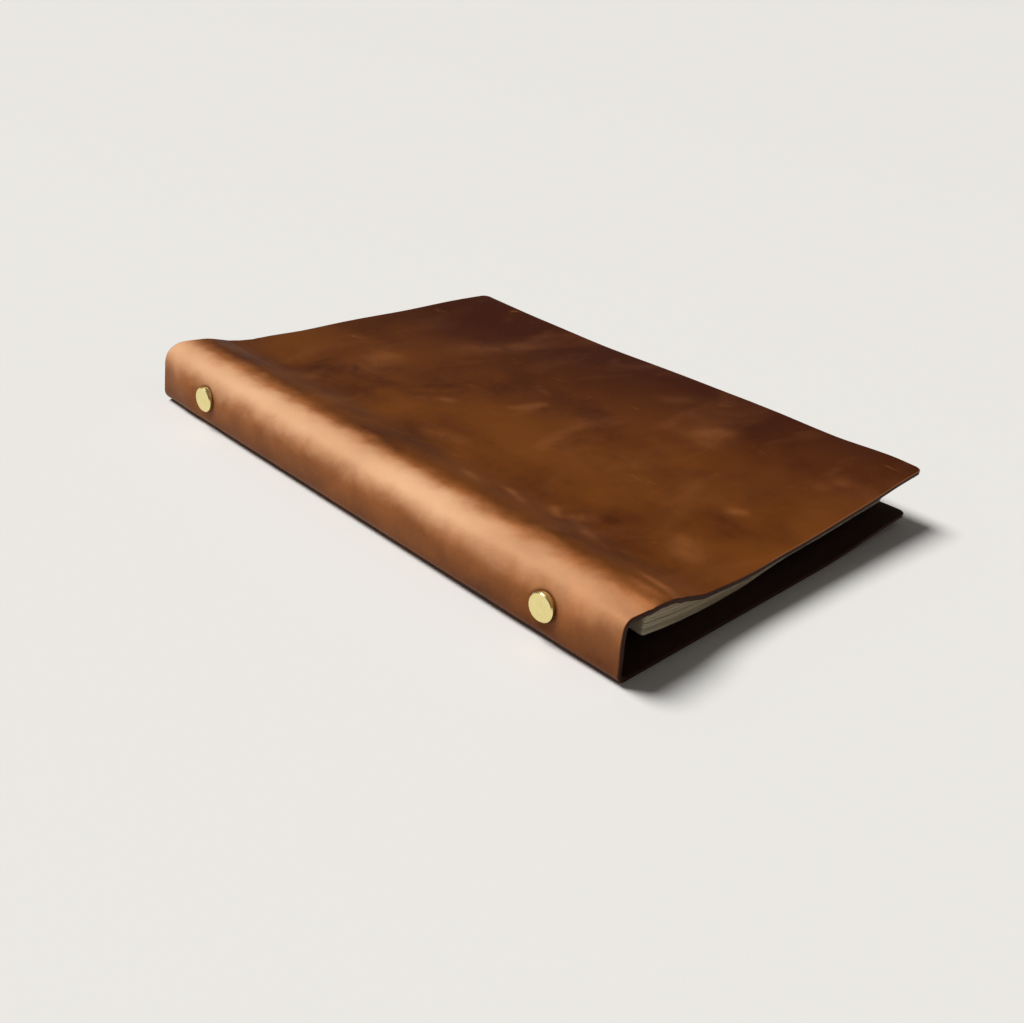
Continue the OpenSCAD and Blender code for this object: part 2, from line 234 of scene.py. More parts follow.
class PortfolioSettings(bpy.types.PropertyGroup):
    """Everything that a user would change."""

    hide: PointerProperty(type=HideSettings)
    sheets: PointerProperty(type=SheetSettings)
    metal: PointerProperty(type=MetalSettings)
    stage: PointerProperty(type=StageSettings)


def smooth(value, start, end):
    """0 before start, 1 after end and an even S between them, with start above or below end."""
    t = np.clip((value - start) / (end - start), 0, 1)
    return t * t * (3 - 2 * t)


def through(points, value):
    """A smooth curve through a few points, read at each value."""
    xs, ys = np.array(points, float).T
    slopes = np.gradient(ys, xs)
    i = np.clip(np.searchsorted(xs, value) - 1, 0, len(xs) - 2)
    span = xs[i + 1] - xs[i]
    t = np.clip((value - xs[i]) / span, 0, 1)
    t2, t3 = t * t, t * t * t
    ends = ys[i] * (2 * t3 - 3 * t2 + 1) + ys[i + 1] * (3 * t2 - 2 * t3)
    return ends + span * (slopes[i] * (t3 - 2 * t2 + t) + slopes[i + 1] * (t3 - t2))


def cover_height(x):
    """Height of the front cover's outer face in the CAD section."""
    slope = np.clip((x - RIDGE_START) / (RIDGE_END - RIDGE_START), 0, 1)
    climb = FORE_RISE * np.clip((x - RIDGE_END) / (COVER_W - RIDGE_END), 0, 1)
    return CASE_H - RIDGE_DROP * (1 - np.cos(np.pi * slope)) / 2 + climb


def cover_lie(x, y):
    """How far the soft front cover lies above or below that section."""
    lie = through(NEAR_SAG, x) * smooth(y, -76, -112)
    lie += through(NEAR_LIFT, x) * smooth(y, -55, -100)
    lie += through(FAR_LIE, x) * smooth(y, 76, 112)
    lie += through(EDGE_WAVE, y) * smooth(x, 95, 170)
    return lie


def crease_depth(x, y):
    """Soft hollows, shallow wrinkles at the foot of the ridge and creases at its near end."""
    hollows = np.sin(x * 0.093 + 0.8 * np.sin(y * 0.031)) * np.sin(y * 0.058 + 0.9)
    hollows = 0.22 * hollows * smooth(x, 45, 70)
    foot = smooth(x, 20, 29) * smooth(x, 52, 38)
    wander = 2.2 * np.sin(y * 0.045 + 0.7) + 1.1 * np.sin(y * 0.13 + 2.1)
    along = np.sin((x + wander) * 1.15) * (0.5 + 0.5 * np.sin(y * 0.071 + 1.3)) ** 2
    depth = hollows + 0.1 * foot * along
    for at, slant, width, deep in NEAR_CREASES:
        line = x - at - slant * (y + HALF_LEN)
        depth = depth - deep * np.exp(-(line / width) ** 2) * smooth(y, -94, -108)
    return depth


def rubbed(x, y):
    """How strongly the cover is rubbed pale, from the list of marks."""
    total = np.zeros_like(x)
    for at_x, at_y, long, wide, direction, bow, strength in RUBS:
        turn = math.radians(direction)
        along = (x - at_x) * math.cos(turn) + (y - at_y) * math.sin(turn)
        across = (y - at_y) * math.cos(turn) - (x - at_x) * math.sin(turn) - bow * along ** 2
        total = np.maximum(total, strength * np.exp(-(along / long) ** 4 - (across / wide) ** 2))
    return total


def back_lift(x, y):
    """How far the back cover's free corners curl up from the table."""
    near = 3.0 * smooth(x, 105, BACK_W) * smooth(y, -45, -HALF_LEN)
    far = 0.8 * smooth(x, 125, BACK_W) * smooth(y, 55, HALF_LEN)
    return near + far


def spine_lean(y, z):
    """How far the upper part of the spine leans out at its near end and in at its far end."""
    sideways = 0.3 * smooth(y, 100, HALF_LEN) - 1.4 * smooth(y, -89, -HALF_LEN)
    return sideways * smooth(z, 3, 16)


def spine_round(y):
    """Width and height of the spine's round into the front cover, and how freely the spine swells there."""
    near = smooth(y, -88, -HALF_LEN)
    far = smooth(y, 94, HALF_LEN)
    wide = ROUND_W + (FOLD_R - ROUND_W) * near + (FAR_ROUND_W - ROUND_W) * far
    high = ROUND_H + (FOLD_R - ROUND_H) * near + (FAR_ROUND_H - ROUND_H) * far
    return wide, high, (1 - near) * (1 - far)


def spine_swell(y, z):
    """How far the spine swells out at a height, with a dimple round each post."""
    _, high, free = spine_round(y)
    middle = CASE_H - high
    below = 1 - (np.clip(middle - z, 0, None) / middle) ** 2
    above = (1 - np.clip((z - middle) / high, 0, 1) ** ROUND_POWER) ** (1 / ROUND_POWER)
    swell = SWELL * free * below * above
    for post_y in (-POST_Y, POST_Y):
        swell = swell * (1 - np.exp(-((y - post_y) ** 2 + (z - MID_Z) ** 2) / DIMPLE_R ** 2))
    return swell


def spaced(start, end, step, fine_ends=0.0):
    """Even places from start to end, with extra ones close to both ends where asked."""
    count = max(2, int(round(abs(end - start) / step)) + 1)
    places = np.linspace(start, end, count)
    if fine_ends:
        near = np.linspace(0, fine_ends, EDGE_ROWS)
        inner = places[(np.abs(places - start) > fine_ends) & (np.abs(places - end) > fine_ends)]
        sign = 1 if end > start else -1
        places = np.concatenate([start + sign * near, inner, (end - sign * near)[::-1]])
    return places


def rounded_width(width, y, inset):
    """Width of a cover at a place along the spine, with its corners rounded."""
    over = np.clip(np.abs(y) - (HALF_LEN - CORNER_R), 0, CORNER_R - inset)
    return width - CORNER_R + np.sqrt((CORNER_R - inset) ** 2 - over ** 2)


def front_surface(step, inset):
    """Outer face of the spine's upper part, its round and the front cover, with the place of each point
    on the hide, how rubbed it is and how much the hide is thinned there."""
    ys = spaced(-HALF_LEN + inset, HALF_LEN - inset, step, CORNER_R)
    wide, high, free = spine_round(ys)
    edge = rounded_width(COVER_W, ys, inset)
    climbs = np.linspace(0, 1, SPINE_ROWS)
    section = [(np.zeros_like(ys), SEAM_Z + climb * (CASE_H - high - SEAM_Z)) for climb in climbs]
    for angle in np.linspace(0, np.pi / 2, ROUND_ROWS)[1:]:
        across = 1 - np.cos(angle) ** (2 / ROUND_POWER)
        section.append((wide * across, CASE_H - high + high * np.sin(angle) ** (2 / ROUND_POWER)))
    x, z = (np.array([row[i] for row in section]) for i in range(2))
    x = x - spine_swell(ys, z)
    run = np.cumsum(np.hypot(np.diff(x, axis=0), np.diff(z, axis=0)), axis=0)
    run = np.concatenate([np.zeros((1, len(ys))), run])
    place = SEAM_PLACE + (wide - SEAM_PLACE) * run / run[-1]
    shares = (spaced(FOLD_R, COVER_W, step, CORNER_R)[EDGE_ROWS:] - FOLD_R) / (COVER_W - FOLD_R)
    cover = wide + shares[:, None] * (edge - wide)
    x = np.concatenate([x, cover])
    z = np.concatenate([z, cover_height(cover)])
    place = np.concatenate([place, cover])
    y = np.broadcast_to(ys, x.shape)
    thinned = ROUND_SKIVE * free * np.exp(-((x - 1.4) / 2.6) ** 2) * smooth(z, 8, 14)
    leaned = x + spine_lean(y, z) * smooth(x, 34, FOLD_R)
    raised = z + (cover_lie(x, y) + crease_depth(x, y)) * smooth(x, -0.5, FOLD_R + 2)
    return np.stack([leaned, y, raised], -1), place, rubbed(x, y) * smooth(x, 0, FOLD_R + 3), thinned


def back_surface(step, inset):
    """Outer face of the spine's lower strip, the lower fold and the back cover, with the same measures."""
    ys = spaced(-HALF_LEN + inset, HALF_LEN - inset, step, CORNER_R)
    cover_rows = (spaced(FOLD_R, BACK_W, step, CORNER_R)[EDGE_ROWS:] - FOLD_R) / (BACK_W - FOLD_R)
    edge = rounded_width(BACK_W, ys, inset)
    fold_len = FOLD_R * np.pi / 2
    fold_start = SEAM_PLACE - (SEAM_Z - FOLD_R)
    rows = [(np.zeros_like(ys), np.full_like(ys, z), np.full_like(ys, SEAM_PLACE - (SEAM_Z - z)))
            for z in (SEAM_Z, (SEAM_Z + FOLD_R) / 2)]
    for share in np.linspace(0, 1, FOLD_ROWS):
        angle = share * np.pi / 2
        x = np.full_like(ys, FOLD_R * (1 - np.cos(angle)))
        z = np.full_like(ys, FOLD_R * (1 - np.sin(angle)))
        rows.append((x, z, np.full_like(ys, fold_start - share * fold_len)))
    for share in cover_rows:
        run = share * (edge - FOLD_R)
        rows.append((FOLD_R + run, np.zeros_like(ys), fold_start - fold_len - run))
    x, z, place = (np.array([row[i] for row in rows]) for i in range(3))
    y = np.broadcast_to(ys, x.shape)
    swelled = x - spine_swell(y, z) * smooth(x, FOLD_R, 0)
    return np.stack([swelled, y, z + back_lift(x, y)], -1), place, np.zeros_like(x), np.zeros_like(x)


def thick_hide(name, outer, place, worn, thinned, edge_round, flip):
    """A closed mesh of the hide under an outer face: rounded cut edges, and a plain wall at the seam."""
    d_row = np.gradient(outer, axis=0)
    d_col = np.gradient(outer, axis=1)
    normal = np.cross(d_row, d_col) * (-1 if flip else 1)
    normal /= np.linalg.norm(normal, axis=2, keepdims=True)
    rows, cols = place.shape
    to_end = HALF_LEN - np.abs(outer[..., 1])
    to_edge = np.minimum(to_end, np.abs(place[-1:] - place))
    thick = (EDGE_T + (HIDE_T - EDGE_T) * smooth(to_edge, 0, SKIVE_W) - thinned)[..., None]
    inner = outer - normal * thick
    # The ring of points round the face, and which way is out of the hide at each of them
    ring = [(r, 0) for r in range(rows)] + [(rows - 1, c) for c in range(1, cols)]
    ring += [(r, cols - 1) for r in range(rows - 2, -1, -1)] + [(0, c) for c in range(cols - 2, 0, -1)]
    ring_r, ring_c = np.array(ring).T
    tangent = np.roll(outer[ring_r, ring_c], -1, 0) - np.roll(outer[ring_r, ring_c], 1, 0)
    away = np.cross(tangent, normal[ring_r, ring_c]) * (-1 if flip else 1)
    away /= np.linalg.norm(away, axis=1, keepdims=True)
    away[ring_r == 0] = [0, 0, 0]
    ends = (ring_r == 0) & ((ring_c == 0) | (ring_c == cols - 1))
    away[ends & (ring_c == 0)] = [0, -1, 0]
    away[ends & (ring_c == cols - 1)] = [0, 1, 0]
    # Section of the rounded edge: depth as a share of the thickness, and reach as a share of the rounding
    profile = ((0.05, 0.62), (0.18, 0.93), (0.5, 1.0), (0.82, 0.93), (0.95, 0.62))
    points = [outer.reshape(-1, 3), inner.reshape(-1, 3)]
    depths = [np.zeros(rows * cols), thick.ravel()]
    places = [place.ravel()] * 2
    ys = [outer[..., 1].ravel()] * 2
    wear = [worn.ravel(), np.zeros(rows * cols)]
    for depth, out in profile:
        down = thick[ring_r, ring_c] * depth
        points.append(outer[ring_r, ring_c] - normal[ring_r, ring_c] * down + away * edge_round * out)
        depths.append(down.ravel())
        places.append(place[ring_r, ring_c])
        ys.append(outer[ring_r, ring_c, 1])
        wear.append(worn[ring_r, ring_c])
    index = np.arange(rows * cols).reshape(rows, cols)
    quads = np.stack([index[:-1, :-1], index[1:, :-1], index[1:, 1:], index[:-1, 1:]], -1).reshape(-1, 4)
    grain = quads[:, ::-1] if flip else quads
    flesh = (quads if flip else quads[:, ::-1]) + rows * cols
    loops = [index[ring_r, ring_c]]
    loops += [2 * rows * cols + k * len(ring) + np.arange(len(ring)) for k in range(len(profile))]
    loops.append(index[ring_r, ring_c] + rows * cols)
    walls = []
    for a, b in zip(loops, loops[1:]):
        wall = np.stack([a, b, np.roll(b, -1), np.roll(a, -1)], -1)
        walls.append(wall[:, ::-1] if flip else wall)
    rim = np.concatenate(walls)
    faces = np.concatenate([grain, flesh, rim])
    # Slots: 0 the grain side, 1 the cut edge, 2 the flesh side
    mesh = bpy.data.meshes.new(name)
    co = np.concatenate(points) * MM + np.array([SPINE_X, 0, 0])
    mesh.from_pydata(co.tolist(), [], faces.tolist())
    kinds = np.concatenate([np.zeros(len(grain)), np.full(len(flesh), 2), np.ones(len(rim))]).astype(np.int32)
    mesh.polygons.foreach_set("material_index", kinds)
    mesh.polygons.foreach_set("use_smooth", np.ones(len(faces), bool))
    on_hide = np.stack([np.concatenate(places), np.concatenate(ys), np.concatenate(depths)], -1) * MM
    attribute = mesh.attributes.new("hide", "FLOAT_VECTOR", "POINT")
    attribute.data.foreach_set("vector", on_hide.astype(np.float32).ravel())
    attribute = mesh.attributes.new("rubbed", "FLOAT", "POINT")
    attribute.data.foreach_set("value", np.concatenate(wear).astype(np.float32))
    mesh.validate()
    mesh.update()
    mesh.set_sharp_from_angle(angle=math.radians(60))
    return mesh


def add_object(name, mesh):
    """Puts a mesh into the scene at the origin."""
    piece = bpy.data.objects.new(name, mesh)
    bpy.context.scene.collection.objects.link(piece)
    return piece


def add_node(tree, kind, inputs=None, **settings):
    """Adds a node, sets its settings, and sets or links its inputs."""
    node = tree.nodes.new(kind)
    for key, value in settings.items():
        setattr(node, key, value)
    for key, value in (inputs or {}).items():
        if isinstance(value, bpy.types.NodeSocket):
            tree.links.new(value, node.inputs[key])
        else:
            node.inputs[key].default_value = value
    return node


def new_material(name):
    """An empty node material, and the tree that it is built in."""
    material = bpy.data.materials.new(name)
    material.use_nodes = True
    tree = material.node_tree
    tree.nodes.clear()
    return material, tree


def grain_leather(hide, post_place):
    """Full-grain vegetable-tanned leather, waxed by hand: a fine pebbled grain, cloudy browns where
    the wax lies thick or thin, pale pulled-up folds and smears, a painted highlight on the round and crown of
    the upper fold, a few scratches and a satin gloss."""
    material, tree = new_material("waxed_pull_up_leather")
    at = add_node(tree, "ShaderNodeAttribute", attribute_name="hide").outputs["Vector"]
    part = add_node(tree, "ShaderNodeSeparateXYZ", {0: at}).outputs
    # Clouds of wax about 45 mm across, and blots about 14 mm across
    clouds = add_node(tree, "ShaderNodeTexNoise", {
        "Vector": at, "Scale": 1 / (45 * MM), "Detail": 4.0, "Roughness": 0.5, "Distortion": 0.25})
    clouds = clouds.outputs["Fac"]
    blots = add_node(tree, "ShaderNodeTexNoise", {
        "Vector": at, "Scale": 1 / (14 * MM), "Detail": 5.0, "Roughness": 0.58, "Distortion": 0.35})
    blots = blots.outputs["Fac"]
    # The place along the hide, slanted towards the far corner
    slanted = add_node(tree, "ShaderNodeMath", {
        0: part["Y"], 1: 0.22, 2: part["X"]}, operation="MULTIPLY_ADD")
    # The same place, made ragged by 8 mm so that the fold fades unevenly
    drift = add_node(tree, "ShaderNodeTexNoise", {
        "Vector": at, "Scale": 1 / (11 * MM), "Detail": 4.0, "Roughness": 0.6, "Distortion": 0.3})
    ragged = add_node(tree, "ShaderNodeMath", {
        0: drift.outputs["Fac"], 1: 8 * MM, 2: part["X"]}, operation="MULTIPLY_ADD")
    ragged = add_node(tree, "ShaderNodeMath", {0: ragged.outputs[0], 1: 4 * MM}, operation="SUBTRACT")
    ragged = ragged.outputs[0]
    # Smears about 60 mm long and 23 mm wide, drawn out across the cover
    smear_at = add_node(tree, "ShaderNodeMapping", {
        "Vector": at, "Rotation": (0, 0, math.radians(24)), "Scale": (1.0, 2.6, 1.0)})
    smears = add_node(tree, "ShaderNodeTexNoise", {
        "Vector": smear_at.outputs[0], "Scale": 1 / (60 * MM), "Detail": 3.5, "Roughness": 0.55,
        "Distortion": 0.8})
    # Distance from the middle of the nearer post
    half = add_node(tree, "ShaderNodeMath", {0: part["Y"]}, operation="ABSOLUTE")
    on_half = add_node(tree, "ShaderNodeCombineXYZ", {"X": part["X"], "Y": half.outputs[0]})
    reach = add_node(tree, "ShaderNodeVectorMath", {
        0: on_half.outputs[0], 1: (post_place * MM, POST_Y * MM, 0.0)}, operation="DISTANCE")
    # Scratches: thin lines about 7 mm apart, slightly curved
    scratch_bend = add_node(tree, "ShaderNodeTexNoise", {
        "Vector": at, "Scale": 1 / (30 * MM), "Detail": 1.0})
    scratch_at = add_node(tree, "ShaderNodeMapping", {
        "Vector": at, "Rotation": (0, 0, math.radians(-37)), "Scale": (1.0, 0.12, 1.0)})
    scratch_at = add_node(tree, "ShaderNodeVectorMath", {
        0: scratch_bend.outputs["Color"], 1: (6 * MM, 6 * MM, 0), 2: scratch_at.outputs[0]},
        operation="MULTIPLY_ADD")
    lines = add_node(tree, "ShaderNodeTexVoronoi", {
        "Vector": scratch_at.outputs[0], "Scale": 1 / (7 * MM)}, feature="DISTANCE_TO_EDGE")
    marks = add_node(tree, "ShaderNodeAttribute", attribute_name="rubbed")
    # Masks: what each is read from, where it starts and ends, its amounts there, and how it fades
    masks = {"marks": marks.outputs["Fac"]}
    for name, value, start, end, low, high, fade in (
            ("cloud", clouds, 0.26, 0.66, 0.0, 1.0, "SMOOTHSTEP"),
            ("blot", blots, 0.34, 0.7, 0.0, 0.55, "LINEAR"),
            ("fore", slanted.outputs[0], 70 * MM, 158 * MM, 0.0, 1.0, "LINEAR"),
            ("smear", smears.outputs["Fac"], 0.5, 0.8, 0.0, 0.12, "SMOOTHSTEP"),
            ("broken", blots, 0.35, 0.62, 0.2, 0.7, "LINEAR"),
            ("fold_in", ragged, -22 * MM, 4 * MM, 0.0, 1.0, "LINEAR"),
            ("fold_out", ragged, 19 * MM, 8 * MM, 0.0, 1.0, "SMOOTHSTEP"),
            ("fold_blot", blots, 0.36, 0.64, 0.68, 1.0, "LINEAR"),
            ("crown_in", ragged, -8 * MM, 2.5 * MM, 0.0, 1.0, "SMOOTHSTEP"),
            ("crown_out", ragged, 14 * MM, 4.5 * MM, 0.0, 1.0, "SMOOTHSTEP"),
            ("crown_blot", clouds, 0.3, 0.65, 0.55, 0.95, "LINEAR"),
            ("crown_end", part["Y"], -105 * MM, -35 * MM, 0.4, 1.0, "LINEAR"),
            ("painted_head_shadow", reach.outputs["Value"], (HEAD_R + 1.5) * MM, HEAD_R * MM, 0.0, 0.75, "SMOOTHSTEP"),
            ("line", lines.outputs["Distance"], 0.03, 0.0, 0.0, 0.22, "LINEAR"),
            ("sparse", blots, 0.6, 0.74, 0.0, 1.0, "SMOOTHSTEP"),
            ("rough", blots, 0.3, 0.7, 0.42, 0.56, "LINEAR")):
        mask = add_node(tree, "ShaderNodeMapRange", {
            "Value": value, "From Min": start, "From Max": end, "To Min": low, "To Max": high},
            interpolation_type=fade)
        masks[name] = mask.outputs[0]
    # Colours from the lowest up, each shown by the product of its masks
    body = hide.deep_colour
    for colour, first, *others in (
            (hide.main_colour, "cloud"),
            (hide.main_colour, "blot"),
            # Darker towards the fore-edge, most of all in the far corner
            (hide.deep_colour, "fore"),
            (hide.pulled_and_highlight_colour, "smear"),
            (hide.pulled_and_highlight_colour, "marks", "broken"),
            # The upper fold is pulled up, and also carries a painted highlight: strongest on its round,
            # fading over the ridge and down the spine
            (hide.pulled_and_highlight_colour, "fold_in", "fold_out", "fold_blot"),
            # Its crown carries a painted highlight in a pale tan, weaker at the near end
            (hide.crown_highlight_colour, "crown_in", "crown_out", "crown_blot", "crown_end"),
            # Painted contact shadow: dark rings, 1.5 mm wide, round the post heads
            (hide.edge_colour, "painted_head_shadow"),
            (hide.pulled_and_highlight_colour, "line", "sparse")):
        amount = masks[first]
        for other in others:
            product = add_node(tree, "ShaderNodeMath", {0: amount, 1: masks[other]}, operation="MULTIPLY")
            amount = product.outputs[0]
        layer = add_node(tree, "ShaderNodeMix", {0: amount, 6: body, 7: colour}, data_type="RGBA")
        body = layer.outputs[2]
    # Grain: pebbles of the set width with soft valleys, and pores a third as wide, both drawn coarser than
    # the real grain so that they show
    pebbles = add_node(tree, "ShaderNodeTexVoronoi", {
        "Vector": at, "Scale": 1 / hide.grain_size, "Smoothness": 0.6}, feature="SMOOTH_F1")
    pores = add_node(tree, "ShaderNodeTexNoise", {
        "Vector": at, "Scale": 3 / hide.grain_size, "Detail": 2.0})
    relief = add_node(tree, "ShaderNodeMath", {
        0: pores.outputs["Fac"], 1: -0.5, 2: pebbles.outputs["Distance"]}, operation="MULTIPLY_ADD")
    relief = add_node(tree, "ShaderNodeMath", {
        0: masks["line"], 1: 0.3, 2: relief.outputs[0]}, operation="MULTIPLY_ADD")
    bump = add_node(tree, "ShaderNodeBump", {
        "Height": relief.outputs[0], "Strength": 0.35, "Distance": 0.12 * MM}, invert=True)
    shader = add_node(tree, "ShaderNodeBsdfPrincipled", {
        "Base Color": body, "Roughness": masks["rough"], "IOR": 1.45, "Specular IOR Level": 0.16,
        "Specular Tint": hide.wax_colour, "Normal": bump.outputs[0]})
    add_node(tree, "ShaderNodeOutputMaterial", {"Surface": shader.outputs[0]})
    return material


def cut_edge_leather(hide):
    """The knife-cut edge, rubbed and waxed: dark packed fibres, and a paler lip beside the grain side that is
    a painted highlight.
    """
    material, tree = new_material("burnished_cut_leather_edge")
    at = add_node(tree, "ShaderNodeAttribute", attribute_name="hide").outputs["Vector"]
    part = add_node(tree, "ShaderNodeSeparateXYZ", {0: at}).outputs
    # Bundles of fibres about 0.6 mm thick, drawn coarser than real fibres so that they show
    fibres = add_node(tree, "ShaderNodeTexNoise", {
        "Vector": at, "Scale": 1 / (0.6 * MM), "Detail": 3.0, "Roughness": 0.6})
    # The lip's paler colour is a painted highlight, strongest at the grain side
    lip_highlight = add_node(tree, "ShaderNodeMapRange", {
        "Value": part["Z"], "From Min": 0.32 * MM, "From Max": 0.03 * MM, "To Max": 0.5},
        interpolation_type="SMOOTHSTEP")
    # The painted highlight on the lip is weaker close to the spine
    highlight_fade = add_node(tree, "ShaderNodeMapRange", {
        "Value": part["X"], "From Min": 45 * MM, "From Max": 75 * MM, "To Min": 0.15, "To Max": 1.0})
    lip_highlight = add_node(tree, "ShaderNodeMath", {0: lip_highlight.outputs[0], 1: highlight_fade.outputs[0]}, operation="MULTIPLY")
    dark = add_node(tree, "ShaderNodeMix", {
        0: fibres.outputs["Fac"], 6: hide.edge_colour, 7: hide.deep_colour}, data_type="RGBA")
    body = add_node(tree, "ShaderNodeMix", {
        0: lip_highlight.outputs[0], 6: dark.outputs[2], 7: hide.pulled_and_highlight_colour}, data_type="RGBA")
    bump = add_node(tree, "ShaderNodeBump", {
        "Height": fibres.outputs["Fac"], "Strength": 0.4, "Distance": 0.1 * MM})
    shader = add_node(tree, "ShaderNodeBsdfPrincipled", {
        "Base Color": body.outputs[2], "Roughness": 0.65, "IOR": 1.45, "Specular IOR Level": 0.2,
        "Normal": bump.outputs[0]})
    add_node(tree, "ShaderNodeOutputMaterial", {"Surface": shader.outputs[0]})
    return material


def flesh_leather(hide):
    """The flesh side, skived and left rough: a short brown nap with loose fibres and no gloss."""
    material, tree = new_material("skived_leather_flesh_side")
    at = add_node(tree, "ShaderNodeAttribute", attribute_name="hide").outputs["Vector"]
    # Nap in tufts about 1.1 mm across, drawn coarser than real so that it shows, and 35 mm patches of shade
    nap = add_node(tree, "ShaderNodeTexNoise", {
        "Vector": at, "Scale": 1 / (1.1 * MM), "Detail": 5.0, "Roughness": 0.75, "Distortion": 0.8})
    shade = add_node(tree, "ShaderNodeTexNoise", {
        "Vector": at, "Scale": 1 / (35 * MM), "Detail": 3.0})
    tone = add_node(tree, "ShaderNodeMath", {
        0: nap.outputs["Fac"], 1: 0.7, 2: shade.outputs["Fac"]}, operation="MULTIPLY_ADD")
    mixed = add_node(tree, "ShaderNodeMapRange", {
        "Value": tone.outputs[0], "From Min": 0.55, "From Max": 1.15})
    body = add_node(tree, "ShaderNodeMix", {
        0: mixed.outputs[0], 6: hide.edge_colour, 7: hide.flesh_colour}, data_type="RGBA")
    bump = add_node(tree, "ShaderNodeBump", {
        "Height": nap.outputs["Fac"], "Strength": 0.6, "Distance": 0.3 * MM})
    shader = add_node(tree, "ShaderNodeBsdfPrincipled", {
        "Base Color": body.outputs[2], "Roughness": 0.92, "Specular IOR Level": 0.2,
        "Sheen Weight": 0.05, "Sheen Roughness": 0.5, "Normal": bump.outputs[0]})
    add_node(tree, "ShaderNodeOutputMaterial", {"Surface": shader.outputs[0]})
    return material


def wove_paper(sheets):
    """Uncoated wove paper, cut and punched: warm white, faintly clouded fibres, no gloss."""
    material, tree = new_material("uncoated_wove_paper")
    at = add_node(tree, "ShaderNodeTexCoord").outputs["Object"]
    # Clouds of fibre about 3 mm across
    clouds = add_node(tree, "ShaderNodeTexNoise", {
        "Vector": at, "Scale": 1 / (3 * MM), "Detail": 4.0, "Roughness": 0.6})
    tone = add_node(tree, "ShaderNodeMapRange", {
        "Value": clouds.outputs["Fac"], "From Min": 0.3, "From Max": 0.7, "To Min": 0.94, "To Max": 1.0})
    body = add_node(tree, "ShaderNodeMix", {
        0: 1.0, 6: sheets.colour, 7: tone.outputs[0]}, data_type="RGBA", blend_type="MULTIPLY")
    # Tooth about 0.4 mm wide, drawn coarser than real fibres so that it shows
    tooth = add_node(tree, "ShaderNodeTexNoise", {
        "Vector": at, "Scale": 1 / (0.4 * MM), "Detail": 2.0})
    bump = add_node(tree, "ShaderNodeBump", {
        "Height": tooth.outputs["Fac"], "Strength": 0.2, "Distance": 0.03 * MM})
    shader = add_node(tree, "ShaderNodeBsdfPrincipled", {
        "Base Color": body.outputs[2], "Roughness": 0.85, "Specular IOR Level": 0.3,
        "Normal": bump.outputs[0]})
    add_node(tree, "ShaderNodeOutputMaterial", {"Surface": shader.outputs[0]})
    return material


def worked_metal(name, colour, roughness, streak):
    """A metal with faint polishing streaks: its gloss wavers along them, and small marks dull it."""
    material, tree = new_material(name)
    at = add_node(tree, "ShaderNodeTexCoord").outputs["Object"]
    along = add_node(tree, "ShaderNodeMapping", {"Vector": at, "Scale": streak})
    # Streaks about 0.5 mm apart, drawn far coarser than real polishing lines so that they show
    streaks = add_node(tree, "ShaderNodeTexNoise", {
        "Vector": along.outputs[0], "Scale": 1 / (0.5 * MM), "Detail": 3.0, "Roughness": 0.6})
    # Handling marks about 2.5 mm across
    spots = add_node(tree, "ShaderNodeTexNoise", {
        "Vector": at, "Scale": 1 / (2.5 * MM), "Detail": 4.0, "Roughness": 0.65})
    rough = add_node(tree, "ShaderNodeMapRange", {
        "Value": streaks.outputs["Fac"], "From Min": 0.3, "From Max": 0.7, "To Min": roughness - 0.03,
        "To Max": roughness + 0.05})
    dull = add_node(tree, "ShaderNodeMapRange", {
        "Value": spots.outputs["Fac"], "From Min": 0.35, "From Max": 0.7, "To Min": 1.0, "To Max": 0.92})
    body = add_node(tree, "ShaderNodeMix", {
        0: 1.0, 6: colour, 7: dull.outputs[0]}, data_type="RGBA", blend_type="MULTIPLY")
    bump = add_node(tree, "ShaderNodeBump", {
        "Height": streaks.outputs["Fac"], "Strength": 0.03, "Distance": 0.02 * MM})
    shader = add_node(tree, "ShaderNodeBsdfPrincipled", {
        "Base Color": body.outputs[2], "Metallic": 1.0, "Roughness": rough.outputs[0],
        "Normal": bump.outputs[0]})
    add_node(tree, "ShaderNodeOutputMaterial", {"Surface": shader.outputs[0]})
    return material


def dress_nodes(names, material):
    """Gives CAD nodes a finished material in place of their plain one."""
    for name in names:
        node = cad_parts[name]
        if not node.material_slots:
            node.data.materials.append(material)
        for slot in node.material_slots:
            slot.material = material


